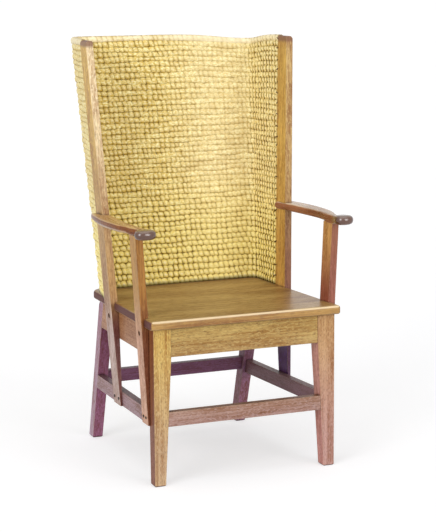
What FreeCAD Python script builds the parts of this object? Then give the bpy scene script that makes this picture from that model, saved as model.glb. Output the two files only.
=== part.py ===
import FreeCAD, Part

import math
import os

# Armchair with an oak frame, a board seat, four leaning posts, two shaped arms and a U-shaped back of sewn
# straw rows. Millimetres, +Z up. The sitter faces -Y and the sitter's left is +X. Lengths along Y are first
# measured back from the front face of the front legs, and the finished pieces are moved to the origin,
# which is on the floor under the middle of the chair's bounding box.

# Frame in plan
front_width = 491.0  # over the outer faces of the front legs
back_narrowing = 36.0  # the outer side faces come in by this much, both sides together, at the frame depth
frame_depth = 462.0  # from the front face to where the narrowing is taken
frame_height = 395.0  # top of the legs and rails

# Front legs, tapered on their inner faces below the rails
front_leg_width = 46.0
front_leg_depth = 40.0
front_foot_width = 29.0
front_foot_depth = 31.0
foot_chamfer = 2.5

# Back legs, raking to the rear
back_leg_width = 31.0
back_foot_width = 27.0
back_leg_depth = 34.0
back_leg_reach = 509.0  # front face of the back leg at the floor
back_leg_rake = 15.9  # degrees from upright
back_leg_top_radius = 24.0

# Seat rails and stretchers
rail_height = 72.0
rail_thickness = 22.0
rail_setback = 1.5  # front rail behind the leg's face
back_rail_setback = 6.0  # back rail behind the leg's face
stretcher_height = 36.5
stretcher_thickness = 20.0
stretcher_setback = 1.0
back_stretcher_setback = 8.0
stretcher_bottom = 149.0  # front and sides
back_stretcher_bottom = 158.0

# Mortise and tenon joints
tenon_thickness = 9.0
tenon_length = 16.0
back_tenon_length = 12.0  # of the bars between the back legs
tenon_shoulder = 8.0  # above and below the tenon
mortise_clearance = 0.15

# Seat board
seat_thickness = 22.0
seat_front_overhang = 14.0
seat_side_overhang = 12.5  # at the front legs
seat_back_overhang = 8.5  # on each side, past the outer side faces at the frame depth
seat_back_margin = 8.0  # board behind the straw
seat_front_corner_radius = 8.0
seat_back_corner_radius = 32.0
seat_top_round = 7.0
seat_bottom_bevel = 3.0
seat_notch_clearance = 0.3

# Posts, which stand against the outer faces of the rails and stretchers
post_thickness = 19.0
post_lean = 3.15  # degrees outwards from upright
arm_post_place = 33.0  # front edge at the frame height
arm_post_depth = 45.0
arm_post_rake = 0.75  # degrees to the rear
arm_post_tenon_width = 10.0
arm_post_tenon_depth = 26.0
arm_post_tenon_height = 11.0
back_post_place = 269.0
back_post_depth = 53.5  # at the seat and below
back_post_top_depth = 48.0
back_post_rake = 5.25
back_post_height = 1077.0
back_post_outer_round = 9.0
back_post_inner_round = 4.0

# Arms
arm_top = 640.5
arm_thickness = 20.0
arm_edge_bevel = 3.0
arm_under_bevel = 8.5  # along the outer lower edge
arm_inner_prong = 9.0  # wood inside the back post
arm_outer_prong = 15.0  # wood outside the back post
arm_inner_prong_round = 6.0
arm_outer_prong_round = 8.0
arm_middle_width = 45.0
arm_middle_inset = 3.0  # inner edge outside the posts' inner faces at mid length
arm_neck_reach = 6.0  # outer side of the neck, out from the posts' middle
arm_neck_length = 24.0  # from the knuckle's centre back to the neck
arm_fork_clearance = 0.3
knuckle_radius = 20.5
knuckle_height = 25.0
knuckle_rim_bevel = 3.0
knuckle_place = -3.0  # centre, from the front face of the front legs

# Straw back
straw_rows = 46
straw_thickness = 17.0
straw_groove = 2.4  # depth of the groove between two rows, on each face
straw_place = 460.0  # middle of the wall at the seat
straw_rake = 6.9  # degrees to the rear
straw_corner_radius = 32.0  # middle of the wall
straw_corner_steps = 4  # short straight lengths that make each round corner
straw_left_splay = 0.5  # degrees that the left wing closes towards the back, at the seat
straw_right_splay = 13.6  # the same for the right wing, because the hand-sewn back stands askew
straw_top_splay = 8.8  # the same for both wings, at the top
straw_post_gap = 0.3

# Screws through the posts into the side rails, their heads sunk in round holes
screw_head = 12.6
screw_head_height = 3.0
screw_head_sink = 3.0  # outer side of the head below the post's face
screw_shank = 5.0
screw_drop = 17.0  # below the top of the rail
screw_bite = 14.0  # into the rail
screw_clearance = 0.25

# Corner blocks under the seat
block_side = 92.0
block_height = 30.0

# Lengths that are closer than this count as the same
same = 0.01

# Values that follow from those sizes
front_half = front_width / 2
side_slope = back_narrowing / 2 / frame_depth
side_angle = math.atan(side_slope)
rail_bottom = frame_height - rail_height
seat_top = frame_height + seat_thickness
arm_underside = arm_top - arm_thickness
leg_run = math.tan(math.radians(back_leg_rake))
lean_run = math.tan(math.radians(post_lean))
straw_run = math.tan(math.radians(straw_rake))
straw_height = back_post_height - seat_top
straw_pitch = straw_height / straw_rows
straw_half = straw_thickness / 2
seat_back = straw_place + straw_half + seat_back_margin

UP = FreeCAD.Vector(0, 0, 1)
OUTWARD = FreeCAD.Vector(1, 0, 0)
CENTRE = FreeCAD.Vector(0, 0, 0)

# The side's own axes: x outwards from the outer face of the frame, y back along it, z up
SIDE = FreeCAD.Placement(FreeCAD.Vector(front_half, 0, 0), FreeCAD.Rotation(UP, math.degrees(side_angle)))


def on_side(shape):
    """Carry a shape from the side's own axes to the chair."""
    placed = shape.copy()
    placed.Placement = SIDE.multiply(placed.Placement)
    return placed


def opposite(shape):
    """Mirror a left-hand shape to the right-hand side."""
    return shape.mirror(CENTRE, OUTWARD)


def pair(pieces, name, left):
    """Add a left-hand piece and its mirror image."""
    pieces[name + "_left"] = left
    pieces[name + "_right"] = opposite(left)


def block(x_range, y_range, z_range):
    """Box between pairs of limits."""
    size = [high - low for low, high in (x_range, y_range, z_range)]
    return Part.makeBox(*size, FreeCAD.Vector(x_range[0], y_range[0], z_range[0]))


def rectangle(x_range, y_range, z):
    """Corners of a level outline between pairs of limits."""
    return [
        FreeCAD.Vector(x_range[0], y_range[0], z),
        FreeCAD.Vector(x_range[1], y_range[0], z),
        FreeCAD.Vector(x_range[1], y_range[1], z),
        FreeCAD.Vector(x_range[0], y_range[1], z),
    ]


def flat(corners):
    """Flat face inside a ring of corners, facing the side from which the ring runs anticlockwise."""
    face = Part.Face(Part.makePolygon([*corners, corners[0]]))
    normal = (corners[1] - corners[0]).cross(corners[2] - corners[1])
    if face.normalAt(0, 0).dot(normal) < 0:
        face.reverse()
    return face


def stacked(outlines):
    """Solid with flat flanks between outlines whose sides stay parallel from one to the next."""
    faces = [flat(outlines[0][::-1]), flat(outlines[-1])]
    for low, high in zip(outlines, outlines[1:]):
        for here in range(len(low)):
            after = (here + 1) % len(low)
            faces.append(flat([low[here], low[after], high[after], high[here]]))
    return Part.Solid(Part.Shell(faces))


def edges_where(shape, test):
    """Edges whose every end point passes a test."""
    return [edge for edge in shape.Edges if all(test(vertex.Point) for vertex in edge.Vertexes)]


def near(a, b):
    """True for two lengths that count as the same."""
    return abs(a - b) < same


def back_leg_front(z):
    """Front face of the back leg at a height, along the side."""
    return back_leg_reach - leg_run * z


def front_leg_outline(z, width, depth, inset):
    """Section of the left front leg, whose outer edge follows the side of the frame."""
    inner = front_half - width + inset
    front = inset
    rear = depth - inset
    return [
        FreeCAD.Vector(front_half - front * side_slope - inset, front, z),
        FreeCAD.Vector(front_half - rear * side_slope - inset, rear, z),
        FreeCAD.Vector(inner, rear, z),
        FreeCAD.Vector(inner, front, z),
    ]


def tapered(z, foot_size, top_size, top):
    """Size at a height of a leg that tapers from a height down to its foot."""
    share = min(1.0, (z - foot_chamfer) / (top - foot_chamfer))
    return foot_size + share * (top_size - foot_size)


def front_leg_inner(z):
    """Distance of the front leg's inner face from the chair's middle plane."""
    return front_half - tapered(z, front_foot_width, front_leg_width, rail_bottom)


def front_leg_rear(z):
    """Rear face of the front leg at a height."""
    return tapered(z, front_foot_depth, front_leg_depth, rail_bottom)


def back_leg_inner(z):
    """Distance of the back leg's inner face from the chair's middle plane, at half its depth."""
    outer = front_half - side_slope * (back_leg_front(z) + back_leg_depth / 2)
    return outer - tapered(z, back_foot_width, back_leg_width, frame_height)


def front_leg_blank():
    """Left front leg before its mortises."""
    return stacked([
        front_leg_outline(0, front_foot_width, front_foot_depth, foot_chamfer),
        front_leg_outline(foot_chamfer, front_foot_width, front_foot_depth, 0),
        front_leg_outline(rail_bottom, front_leg_width, front_leg_depth, 0),
        front_leg_outline(frame_height, front_leg_width, front_leg_depth, 0),
    ])


def back_leg_outline(z, width, inset):
    """Section of the left back leg in the side's axes."""
    front = back_leg_front(z)
    return rectangle((inset - width, -inset), (front + inset, front + back_leg_depth - inset), z)


def back_leg_blank():
    """Left back leg before its mortises and its rounded top, in the side's axes."""
    return stacked([
        back_leg_outline(0, back_foot_width, foot_chamfer),
        back_leg_outline(foot_chamfer, back_foot_width, 0),
        back_leg_outline(frame_height, back_leg_width, 0),
    ])


def rounded_back_leg():
    """Left back leg with the rear edge of its top rounded, in the side's axes."""
    leg = back_leg_blank()
    rear = back_leg_front(frame_height) + back_leg_depth
    edges = edges_where(leg, lambda point: near(point.z, frame_height) and near(point.y, rear))
    return leg.makeFillet(back_leg_top_radius, edges)


def cross_prism(front, thickness, z_range, run, half_length):
    """Bar across the chair, whose section leans forwards by a run for each unit of height."""
    low, high = z_range
    section = flat([
        FreeCAD.Vector(-half_length, front - run * low, low),
        FreeCAD.Vector(-half_length, front - run * low + thickness, low),
        FreeCAD.Vector(-half_length, front - run * high + thickness, high),
        FreeCAD.Vector(-half_length, front - run * high, high),
    ])
    return section.extrude(OUTWARD * 2 * half_length)


def cross_bar(front, thickness, z_range, run, shoulder, tenon, grow=0.0):
    """Body and tenon core of a bar across the chair, or with a clearance the core's mortise.

    Args:
        front: Front face, where it would meet the floor.
        thickness: Thickness of the bar.
        z_range: Lower and upper edges.
        run: Lean of the section, forwards for each unit of height.
        shoulder: Distance of the legs' inner faces from the middle plane.
        tenon: Length of each tenon.
        grow: Clearance round the core.

    Returns:
        The body, which runs into the legs, and the core.
    """
    low, high = z_range
    middle = front + (thickness - tenon_thickness) / 2
    reach = shoulder + tenon
    core_range = (low + tenon_shoulder - grow, high - tenon_shoulder + grow)
    core = cross_prism(middle - grow, tenon_thickness + 2 * grow, core_range, run, reach + grow)
    return cross_prism(front, thickness, z_range, run, reach), core


def side_bar(thickness, z_range, y_range, grow=0.0):
    """Body and tenon core of a left side bar between the legs, flush with their outer faces."""
    low, high = z_range
    inset = (thickness - tenon_thickness) / 2
    core = block(
        (-thickness + inset - grow, -inset + grow),
        (y_range[0] - grow, y_range[1] + grow),
        (low + tenon_shoulder - grow, high - tenon_shoulder + grow),
    )
    return on_side(block((-thickness, 0), y_range, z_range)), on_side(core)


def tenoned(body, core, legs):
    """Shoulder a bar against the legs and leave its tenons standing."""
    bar = body
    for leg in legs:
        bar = bar.cut(leg)
    return bar.fuse(core).removeSplitter()


def bar_sizes():
    """Sizes of the rails and stretchers.

    Returns:
        The bars across the chair and the left side bars, each by name.
    """
    rail_range = (rail_bottom, frame_height)
    low_range = (stretcher_bottom, stretcher_bottom + stretcher_height)
    back_range = (back_stretcher_bottom, back_stretcher_bottom + stretcher_height)
    rail_z = sum(rail_range) / 2
    low_z = sum(low_range) / 2
    back_z = sum(back_range) / 2
    back_rail_front = back_leg_reach + back_rail_setback
    back_stretcher_front = back_leg_reach + back_stretcher_setback
    front_ends = {z: (front_leg_inner(z), tenon_length) for z in (rail_z, low_z)}
    back_ends = {z: (back_leg_inner(z), back_tenon_length) for z in (rail_z, back_z)}
    side_ends = {
        z: (front_leg_rear(z) - tenon_length, back_leg_front(z) + tenon_length)
        for z in (rail_z, low_z)
    }
    cross = {
        "front_rail": (rail_setback, rail_thickness, rail_range, 0, *front_ends[rail_z]),
        "back_rail": (back_rail_front, rail_thickness, rail_range, leg_run, *back_ends[rail_z]),
        "front_stretcher": (stretcher_setback, stretcher_thickness, low_range, 0, *front_ends[low_z]),
        "back_stretcher": (
            back_stretcher_front, stretcher_thickness, back_range, leg_run, *back_ends[back_z]),
    }
    side = {
        "side_rail": (rail_thickness, rail_range, side_ends[rail_z]),
        "side_stretcher": (stretcher_thickness, low_range, side_ends[low_z]),
    }
    return cross, side


def frame_pieces():
    """Legs, rails and stretchers, joined by blind mortises and tenons, with the glued corner blocks.

    Returns:
        The pieces by name.
    """
    front_leg = front_leg_blank()
    back_leg = on_side(back_leg_blank())
    ends = {
        "front": [front_leg, opposite(front_leg)],
        "back": [back_leg, opposite(back_leg)],
        "side": [front_leg, back_leg],
    }
    cross, side = bar_sizes()
    pieces = {}
    bodies = {}
    mortises = []
    for name, sizes in cross.items():
        bodies[name], core = cross_bar(*sizes)
        pieces[name] = tenoned(bodies[name], core, ends[name.split("_")[0]])
        mortises.append(cross_bar(*sizes, grow=mortise_clearance)[1])
    for name, sizes in side.items():
        bodies[name], core = side_bar(*sizes)
        pair(pieces, name, tenoned(bodies[name], core, ends["side"]))
        mortises.append(side_bar(*sizes, grow=mortise_clearance)[1])

    for name, leg in (("front_leg", front_leg), ("back_leg", on_side(rounded_back_leg()))):
        for mortise in mortises:
            leg = leg.cut(mortise)
        pair(pieces, name, leg)

    front_corner = [front_leg, bodies["front_rail"], bodies["side_rail"]]
    back_corner = [back_leg, bodies["back_rail"], bodies["side_rail"]]
    pieces["corner_blocks"] = corner_blocks(front_corner, back_corner)
    return pieces


def post_inner(z):
    """Inner face of a post, upright against the frame and leaning out above it."""
    return max(0.0, (z - frame_height) * lean_run)


def post_outer(z):
    """Outer face of a post, which leans out all the way up."""
    return post_thickness + (z - frame_height) * lean_run


def post_middle(z):
    """Middle of a post's thickness at a height."""
    return (post_inner(z) + post_outer(z)) / 2


def arm_post_front(z):
    """Front edge of the arm post at a height, along the side."""
    return arm_post_place + (z - frame_height) * math.tan(math.radians(arm_post_rake))


def back_post_front(z):
    """Front edge of the back post at a height, along the side."""
    return back_post_place + (z - frame_height) * math.tan(math.radians(back_post_rake))


def back_post_depth_at(z):
    """Depth of the back post, which tapers above the seat."""
    share = max(0.0, (z - frame_height) / (back_post_height - frame_height))
    return back_post_depth + share * (back_post_top_depth - back_post_depth)


def back_post_rear(z):
    """Rear edge of the back post at a height, along the side."""
    return back_post_front(z) + back_post_depth_at(z)


def post_outline(z, front, rear, grow):
    """Section of a post in the side's axes."""
    return rectangle((post_inner(z) - grow, post_outer(z) + grow), (front - grow, rear + grow), z)


def arm_post_blank(grow=0.0):
    """Left arm post without its top tenon, in the side's axes."""
    return stacked([
        post_outline(z, arm_post_front(z), arm_post_front(z) + arm_post_depth, grow)
        for z in (stretcher_bottom, frame_height, arm_underside)
    ])


def back_post_blank(grow=0.0):
    """Left back post with a square top, in the side's axes."""
    return stacked([
        post_outline(z, back_post_front(z), back_post_rear(z), grow)
        for z in (stretcher_bottom, frame_height, back_post_height)
    ])


def arm_post_tenon(grow=0.0):
    """Stub tenon that carries the arm, in the side's axes."""
    middle_x = post_middle(arm_underside)
    middle_y = arm_post_front(arm_underside) + arm_post_depth / 2
    half_x = arm_post_tenon_width / 2 + grow
    half_y = arm_post_tenon_depth / 2 + grow
    return block(
        (middle_x - half_x, middle_x + half_x),
        (middle_y - half_y, middle_y + half_y),
        (arm_underside, arm_underside + arm_post_tenon_height + grow),
    )


def rounded_back_post():
    """Back post with its top edges rounded, more on the outer side."""
    post = back_post_blank()
    top = back_post_height

    def top_edge_at(x):
        return edges_where(post, lambda point: near(point.z, top) and near(point.x, x))

    outer = top_edge_at(post_outer(top))
    inner = top_edge_at(post_inner(top))
    return post.makeFillet(back_post_outer_round, outer).makeFillet(back_post_inner_round, inner)


def side_screws(grow=0.0):
    """Screws of the left side, or with a clearance the holes for them, in the side's axes.

    Args:
        grow: Clearance round each screw.

    Returns:
        The screws of the arm post and the back post.
    """
    inward = OUTWARD * -1
    z = frame_height - screw_drop
    face = post_outer(z) - screw_head_sink
    arm_place = arm_post_front(z) + arm_post_depth / 2
    back_place = back_post_front(z) + back_post_depth / 2
    screws = []
    for y in (arm_place, back_place):
        start = FreeCAD.Vector(face, y, z)
        head = Part.makeCylinder(screw_head / 2 + grow, screw_head_height + grow, start, inward)
        shank = Part.makeCylinder(screw_shank / 2 + grow, face + screw_bite + grow, start, inward)
        body = head.fuse(shank)
        if grow:
            mouth = Part.makeCylinder(screw_head / 2 + grow, post_thickness, start, OUTWARD)
            body = body.fuse(mouth)
        screws.append(body.removeSplitter())
    return screws


def arm_outer_bow():
    """Outer edge of the left arm's underside, from the neck to the outer prong, in the side's axes."""
    rear = back_post_rear(arm_top)
    middle = (arm_post_front(arm_top) + rear) / 2
    middle_x = post_inner(arm_top) + arm_middle_inset + arm_middle_width
    neck_x = post_middle(arm_top) + arm_neck_reach
    neck = FreeCAD.Vector(neck_x, knuckle_place + arm_neck_length, arm_underside)
    prong = FreeCAD.Vector(post_outer(arm_top) + arm_outer_prong, rear, arm_underside)
    return Part.Arc(neck, FreeCAD.Vector(middle_x, middle, arm_underside), prong).toShape()


def arm_under_cut():
    """Wood planed off the arm's outer lower edge, as a ring round the middle of the bow."""
    bow = arm_outer_bow().Curve
    past = arm_edge_bevel
    section = flat([
        bow.Center + FreeCAD.Vector(bow.Radius - arm_under_bevel - past, 0, -past),
        bow.Center + FreeCAD.Vector(bow.Radius + past, 0, -past),
        bow.Center + FreeCAD.Vector(bow.Radius + past, 0, arm_under_bevel + past),
    ])
    return section.revolve(bow.Center, UP)


def arm_outline():
    """Plan of the left arm's board, from the prongs to inside the knuckle, in the side's axes."""
    rear = back_post_rear(arm_top)
    middle = (arm_post_front(arm_top) + rear) / 2
    inner_post = post_inner(arm_top)
    knuckle_x = post_middle(arm_top)
    outer_bow = arm_outer_bow()

    inner_rear = FreeCAD.Vector(inner_post - arm_inner_prong, rear, arm_underside)
    inner_middle = FreeCAD.Vector(inner_post + arm_middle_inset, middle, arm_underside)
    inner_front = FreeCAD.Vector(knuckle_x - knuckle_radius / 2, knuckle_place, arm_underside)
    outer_front = FreeCAD.Vector(knuckle_x + arm_neck_reach, knuckle_place, arm_underside)
    return Part.Wire([
        Part.Arc(inner_rear, inner_middle, inner_front).toShape(),
        Part.makeLine(inner_front, outer_front),
        Part.makeLine(outer_front, outer_bow.firstVertex().Point),
        outer_bow,
        Part.makeLine(outer_bow.lastVertex().Point, inner_rear),
    ])


def knuckle():
    """Rounded front end of the left arm: a ball flattened above and below, in the side's axes."""
    middle_z = arm_top - arm_thickness / 2
    centre = FreeCAD.Vector(post_middle(arm_top), knuckle_place, middle_z)
    across = (-knuckle_radius, knuckle_radius)
    up = (-knuckle_height / 2, knuckle_height / 2)
    ball = Part.makeSphere(knuckle_radius).common(block(across, across, up))
    ball = ball.makeChamfer(knuckle_rim_bevel, [edge for edge in ball.Edges if edge.Closed])
    return ball.translated(centre)


def arm():
    """Left arm: a bowed board, forked round the back post, with a rounded knuckle in front."""
    board = Part.Face(arm_outline()).extrude(UP * arm_thickness)
    rear = back_post_rear(arm_top)
    inner_x = post_inner(arm_top) - arm_inner_prong
    outer_x = post_outer(arm_top) + arm_outer_prong
    for x, radius in ((inner_x, arm_inner_prong_round), (outer_x, arm_outer_prong_round)):
        corner = edges_where(board, lambda point: near(point.x, x) and near(point.y, rear))
        board = board.makeFillet(radius, corner)
    bows = [
        edge for edge in board.Edges
        if near(edge.Vertexes[0].Z, edge.Vertexes[-1].Z) and edge.Curve.TypeId == "Part::GeomCircle"
    ]
    board = board.makeChamfer(arm_edge_bevel, bows)

    slot = back_post_blank(arm_fork_clearance)
    mortise = arm_post_tenon(mortise_clearance)
    return board.cut(arm_under_cut()).fuse(knuckle()).cut(slot).cut(mortise)


def seat_board():
    """Seat with rounded edges and four notches for the posts."""
    front = -seat_front_overhang
    front_reach = front_half + seat_side_overhang
    back_reach = (front_width - back_narrowing) / 2 + seat_back_overhang
    plan = flat([
        FreeCAD.Vector(-front_reach, front, frame_height),
        FreeCAD.Vector(front_reach, front, frame_height),
        FreeCAD.Vector(back_reach, seat_back, frame_height),
        FreeCAD.Vector(-back_reach, seat_back, frame_height),
    ])
    board = plan.extrude(UP * seat_thickness)

    def corner_edges(shape, y):
        return [
            edge for edge in edges_where(shape, lambda point: near(point.y, y))
            if not near(edge.Vertexes[0].Z, edge.Vertexes[-1].Z)
        ]

    board = board.makeFillet(seat_back_corner_radius, corner_edges(board, seat_back))
    board = board.makeFillet(seat_front_corner_radius, corner_edges(board, front))
    top_edges = edges_where(board, lambda point: near(point.z, seat_top))
    board = board.makeFillet(seat_top_round, top_edges)
    bottom_edges = edges_where(board, lambda point: near(point.z, frame_height))
    board = board.makeChamfer(seat_bottom_bevel, bottom_edges)
    for post in (arm_post_blank, back_post_blank):
        notch = on_side(post(seat_notch_clearance))
        board = board.cut(notch).cut(opposite(notch))
    return board


def straw_wing(z, seat_splay, offset):
    """One face of a straw wing with its round corner, drawn on the left side.

    Args:
        z: Height of the section.
        seat_splay: How far the wing closes towards the back at the seat, in degrees.
        offset: Distance of the face from the middle of the wall, outwards.

    Returns:
        Points from the rear face of the back post to the straight part of the back.
    """
    share = (z - seat_top) / straw_height
    splay = math.radians(seat_splay + share * (straw_top_splay - seat_splay))
    back = straw_place + straw_run * (z - seat_top)
    start = SIDE.multVec(FreeCAD.Vector(post_middle(z), back_post_rear(z) + straw_post_gap, z))
    along_side = FreeCAD.Vector(-math.sin(side_angle), math.cos(side_angle), 0)
    wing = FreeCAD.Vector(-math.sin(splay), math.cos(splay), 0)
    outward = FreeCAD.Vector(math.cos(splay), math.sin(splay), 0)
    turn = math.pi / 2 - splay
    tangent = straw_corner_radius * math.tan(turn / 2)
    corner = FreeCAD.Vector(start.x - math.tan(splay) * (back - start.y), back, z)
    centre = corner - wing * tangent - outward * straw_corner_radius
    slide = -offset * outward.dot(along_side) / wing.dot(along_side)
    points = [start + outward * offset + wing * slide]
    for step in range(straw_corner_steps + 1):
        angle = splay + turn * step / straw_corner_steps
        arm = FreeCAD.Vector(math.cos(angle), math.sin(angle), 0)
        points.append(centre + arm * (straw_corner_radius + offset))
    return points


def straw_outline(z, half):
    """U-shaped section of the straw wall at a height.

    Args:
        z: Height of the section.
        half: Half the wall's thickness there.

    Returns:
        A closed wire, whose ends lie along the rear faces of the posts.
    """
    def whole_face(offset):
        left = straw_wing(z, straw_left_splay, offset)
        right = straw_wing(z, straw_right_splay, offset)
        return left + [FreeCAD.Vector(-point.x, point.y, point.z) for point in reversed(right)]

    ring = whole_face(half) + whole_face(-half)[::-1]
    return Part.makePolygon([*ring, ring[0]])


def straw_back():
    """Sewn straw wall whose faces swell at each row and draw in between two rows."""
    sections = [straw_outline(seat_top, straw_half - straw_groove)]
    for row in range(straw_rows):
        low = seat_top + row * straw_pitch
        sections.append(straw_outline(low + straw_pitch / 2, straw_half))
        sections.append(straw_outline(low + straw_pitch, straw_half - straw_groove))
    return Part.makeLoft(sections, True, True)


def corner_blocks(front_corner, back_corner):
    """Glue blocks under the seat, shaped to the rails and legs in the four corners of the frame.

    Args:
        front_corner: Solids that meet in the left front corner.
        back_corner: Solids that meet in the left back corner.

    Returns:
        The four blocks as one group.
    """
    low = frame_height - block_height
    middle_z = frame_height - block_height / 2
    rail_middle = -rail_thickness / 2
    front_y = rail_setback + rail_thickness / 2
    back_y = back_leg_front(middle_z) + back_rail_setback + rail_thickness / 2
    blocks = []
    for neighbours, y, direction in ((front_corner, front_y, 1), (back_corner, back_y, -1)):
        corner = SIDE.multVec(FreeCAD.Vector(rail_middle, y, low))
        along = SIDE.multVec(FreeCAD.Vector(rail_middle, y + direction * block_side, low))
        across = corner - OUTWARD * block_side
        wedge = flat([corner, along, across]).extrude(UP * block_height)
        for neighbour in neighbours:
            wedge = wedge.cut(neighbour)
        blocks += [wedge.Solids[0], opposite(wedge.Solids[0])]
    return Part.makeCompound(blocks)


def build():
    """Make every piece, measured from the front legs.

    Returns:
        The pieces by node name.
    """
    pieces = frame_pieces()
    holes = Part.makeCompound(side_screws(screw_clearance))
    pair(pieces, "side_rail", pieces["side_rail_left"].cut(on_side(holes)))
    pair(pieces, "arm_post", on_side(arm_post_blank().fuse(arm_post_tenon()).cut(holes)))
    pair(pieces, "back_post", on_side(rounded_back_post().cut(holes)))
    pair(pieces, "arm", on_side(arm()))
    pieces["seat_board"] = seat_board()
    pieces["straw_back"] = straw_back()
    screws = [on_side(screw) for screw in side_screws()]
    pieces["rail_screws"] = Part.makeCompound(screws + [opposite(screw) for screw in screws])
    return pieces


os.makedirs("parts", exist_ok=True)
chair = build()
extent = Part.makeCompound(list(chair.values())).optimalBoundingBox(False)
to_origin = FreeCAD.Vector(0, -extent.Center.y, 0)
for node, piece in chair.items():
    piece.translated(to_origin).exportStep(os.path.join("parts", node + ".step"))
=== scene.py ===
import logging
import math
import random
from collections.abc import Callable
from dataclasses import dataclass, field
from enum import Enum
from functools import partial

import bmesh
import bpy
from bpy.types import Material, Node, NodeOutputs, NodeSocket, NodeTree, Object
from mathutils import Matrix, Vector


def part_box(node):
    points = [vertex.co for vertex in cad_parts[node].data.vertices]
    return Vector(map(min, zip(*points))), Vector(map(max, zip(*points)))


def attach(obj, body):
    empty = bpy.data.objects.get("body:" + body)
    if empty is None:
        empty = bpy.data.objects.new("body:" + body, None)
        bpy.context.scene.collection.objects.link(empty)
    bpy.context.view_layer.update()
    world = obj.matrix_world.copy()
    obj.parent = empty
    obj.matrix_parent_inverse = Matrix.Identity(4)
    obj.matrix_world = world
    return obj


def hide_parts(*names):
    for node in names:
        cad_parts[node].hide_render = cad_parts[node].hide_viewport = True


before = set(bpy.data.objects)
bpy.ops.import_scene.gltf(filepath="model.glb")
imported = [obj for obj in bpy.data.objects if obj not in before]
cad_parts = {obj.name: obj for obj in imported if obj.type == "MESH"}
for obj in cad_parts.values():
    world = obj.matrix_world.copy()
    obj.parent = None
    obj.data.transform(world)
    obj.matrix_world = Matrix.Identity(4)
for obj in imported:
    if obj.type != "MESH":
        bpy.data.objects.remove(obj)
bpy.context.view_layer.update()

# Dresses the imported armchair: frame, posts and seat keep their solids and get oak finishes, the arms are worn
# round, and the back is made again as single rows of sewn straw. Metres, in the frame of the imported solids.

MM = 0.001
# numbers of a Mix node's inputs for its factor and its two colours
SHARE, UNDER, OVER = 0, 6, 7
LOG = logging.getLogger("chair")
Adder = Callable[..., Node]
Pair = tuple[float, float]
Spot = tuple[float, float, float]
Ramp = tuple[float, ...]


def linear(code: str) -> tuple[float, float, float, float]:
    """Turns an sRGB hex colour into a linear one.

    Args:
        code: six hex digits after a hash sign.

    Returns:
        Red, green, blue and alpha for a shader socket.
    """
    parts = [int(code[place:place + 2], 16) / 255 for place in (1, 3, 5)]
    red, green, blue = (c / 12.92 if c <= 0.04045 else ((c + 0.055) / 1.055) ** 2.4 for c in parts)
    return red, green, blue, 1.0


def add_node(
    tree: NodeTree, kind: str, values: dict | None = None, links: dict | None = None, **settings: object
) -> Node:
    """Adds a shader node with its settings, its fixed values and its links.

    Args:
        tree: node tree that takes the node.
        kind: Blender's name of the node type, without the words that all of them start with.
        values: input name or number to its fixed value.
        links: input name or number to the output that feeds it, or to a node whose first open output does.
        settings: attributes of the node.

    Returns:
        The new node.
    """
    node = tree.nodes.new(f"ShaderNode{kind}")
    for key, value in settings.items():
        setattr(node, key, value)
    for key, value in (values or {}).items():
        node.inputs[key].default_value = value
    for key, source in (links or {}).items():
        if isinstance(source, Node):
            source = next(output for output in source.outputs if output.enabled)
        tree.links.new(source, node.inputs[key])
    return node


def span(start: float = 0.0, end: float = 1.0, low: float = 0.0, high: float = 1.0) -> dict[str, float]:
    """Gives the values of a ramp from one range to another.

    Args:
        start: value that turns into the low one.
        end: value that turns into the high one.
        low: what the start turns into.
        high: what the end turns into.

    Returns:
        Input name to its fixed value.
    """
    return {"From Min": start, "From Max": end, "To Min": low, "To Max": high}


def new_material(name: str) -> tuple[Material, Adder]:
    """Makes a material with an empty node tree.

    Args:
        name: name of the material.

    Returns:
        The material, and a function that adds a node to it.
    """
    made = bpy.data.materials.new(name)
    made.use_nodes = True
    made.node_tree.nodes.clear()
    return made, partial(add_node, made.node_tree)


def pick_only(*objects: Object) -> None:
    """Selects these objects alone and makes the first one active."""
    bpy.ops.object.select_all(action="DESELECT")
    for one in objects:
        one.select_set(True)
    bpy.context.view_layer.objects.active = objects[0]


def settle(piece: Object) -> None:
    """Puts an object's place, turn and scale into its mesh."""
    pick_only(piece)
    bpy.ops.object.transform_apply(location=True, rotation=True, scale=True)


def edit_all(operator: Callable[..., set[str]], **settings: object) -> None:
    """Runs an operator of edit mode on the whole of the active piece.

    Args:
        operator: the operator.
        settings: what the operator is given.
    """
    bpy.ops.object.mode_set(mode="EDIT")
    bpy.ops.mesh.select_all(action="SELECT")
    operator(**settings)
    bpy.ops.object.mode_set(mode="OBJECT")


def apply_modifier(piece: Object, kind: str, **settings: object) -> None:
    """Adds a modifier to the active piece and applies it.

    Args:
        piece: the piece, which is active.
        kind: Blender's name of the modifier type.
        settings: attributes of the modifier.
    """
    made = piece.modifiers.new(kind.lower(), kind)
    for key, value in settings.items():
        setattr(made, key, value)
    bpy.ops.object.modifier_apply(modifier=made.name)


def own_copy(piece: Object, name: str) -> Object:
    """Copies a modelled piece with a mesh of its own.

    Args:
        piece: the piece to copy.
        name: name of the copy.

    Returns:
        The copy, linked to the scene.
    """
    made = bpy.data.objects.new(name, piece.data.copy())
    bpy.context.scene.collection.objects.link(made)
    return made


def join_as(name: str, members: list[Object]) -> Object:
    """Joins objects into one.

    Args:
        name: name of the joined piece.
        members: objects that it is made of.

    Returns:
        The joined piece.
    """
    pick_only(*members)
    bpy.ops.object.join()
    members[0].name = name
    members[0].data.name = name
    return members[0]


class Grain(Enum):
    """Way the grain of a board runs: the turn that lays it along a pattern's Z, and its axis."""

    ACROSS = ((0.0, math.pi / 2, 0.0), "X")
    DEEP = ((math.pi / 2, 0.0, 0.0), "Y")
    UPRIGHT = ((0.0, 0.0, 0.0), "Z")


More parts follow.
